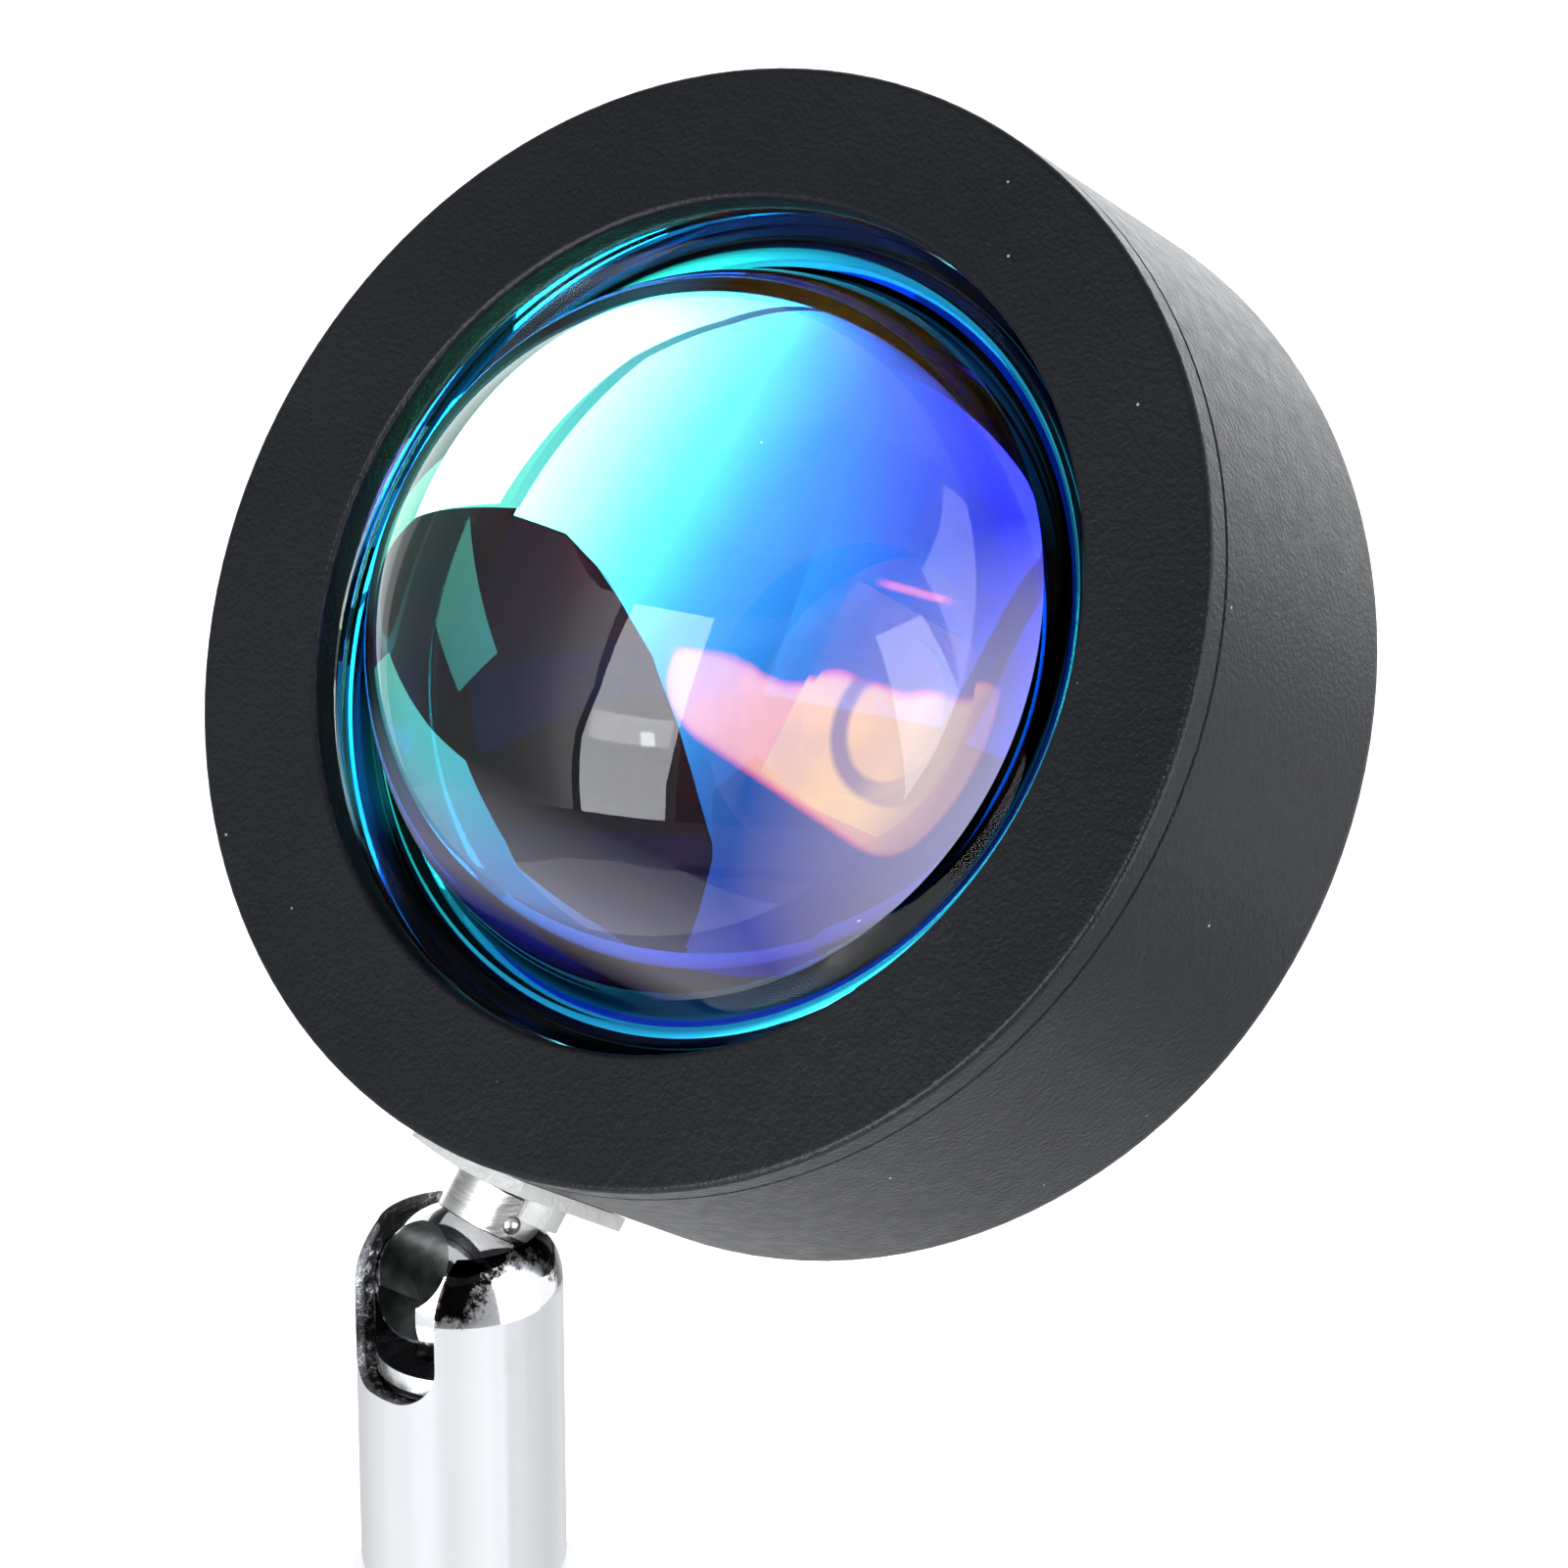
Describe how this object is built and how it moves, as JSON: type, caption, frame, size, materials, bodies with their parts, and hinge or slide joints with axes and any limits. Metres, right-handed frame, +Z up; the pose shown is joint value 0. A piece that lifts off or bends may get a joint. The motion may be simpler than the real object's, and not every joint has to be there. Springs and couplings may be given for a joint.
{
  "type": "sunset projection lamp",
  "caption": "Round tiltable lamp head with a thick projecting lens and colour filter, on a slotted ball joint, a chrome pole and a round weighted foot.",
  "frame": {"origin": "middle of the foot's underside, on the pole's axis", "axes": "+Z up along the pole; the head looks towards -Y and up at rest; +X to the right of someone who faces the head"},
  "size_m": [0.1, 0.1, 0.2543],
  "materials": {
    "black_coat": "matt powder coat with a fine grain",
    "chrome": "polished chrome plate",
    "dark_chrome": "chrome plate, darker and a little uneven",
    "lens_glass": "polished clear glass",
    "filter_glass": "colour-shifting mirror coat, green through blue to violet",
    "soft_rubber": "soft matt rubber",
    "heat_silicone": "grey-blue silicone",
    "foam_pad": "fine closed-cell foam",
    "black_metal": "matt black",
    "ring_plastic": "black nylon",
    "mirror_coat": "vacuum-metallised cup",
    "white_board": "aluminium core board with white mask",
    "phosphor": "yellow phosphor gel",
    "white_plastic": "moulded white plastic",
    "black_plastic": "moulded black plastic",
    "bare_aluminium": "milled",
    "raw_casting": "raw die casting with a seam",
    "steel": "zinc plated",
    "brass": "turned",
    "iron": "raw, oiled"
  },
  "bodies": {
    "stand": {"pole_tube": "chrome", "pole_bush": "brass", "foot_plug": "steel", "pole_collar": "chrome", "foot_cover": "black_coat", "foot_weight": "iron", "foot_bolt": "steel", "foot_washer": "steel", "foot_pad": "foam_pad"},
    "socket": {"socket_tube": "chrome", "friction_ring": "ring_plastic", "pressure_spring": "steel", "link_nipple": "brass"},
    "ball": {"pivot_ball": "dark_chrome"},
    "head": {"front_bezel": "black_coat", "head_housing": "black_coat", "lens": "lens_glass", "color_filter": "filter_glass", "lens_gasket": "soft_rubber", "lens_retainer": "black_metal", "reflector_cup": "mirror_coat", "led_board": "white_board", "led_emitter": "phosphor", "wire_socket": "white_plastic", "board_chips": "black_plastic", "thermal_pad": "heat_silicone", "heat_spreader": "bare_aluminium", "board_screws": "steel", "cord_gland": "soft_rubber", "neck_stem": "chrome", "neck_lug": "raw_casting", "lap_pin": "steel", "neck_screw": "steel"}
  },
  "joints": [
    {"name": "socket_turn", "type": "hinge", "parent": "stand", "child": "socket", "pos_m": [0, 0, 0.177], "axis": [0, 0, 1], "range_deg": [-175, 175]},
    {"name": "head_tilt", "type": "hinge", "parent": "socket", "child": "ball", "pos_m": [0, 0, 0.1937], "axis": [0.9735, -0.2286, 0], "range_deg": [-2.5, 123.4]},
    {"name": "head_spin", "type": "hinge", "parent": "ball", "child": "head", "pos_m": [0, 0, 0.1937], "axis": [0.1851, 0.5209, 0.8333], "range_deg": [-175, 175]}
  ]
}
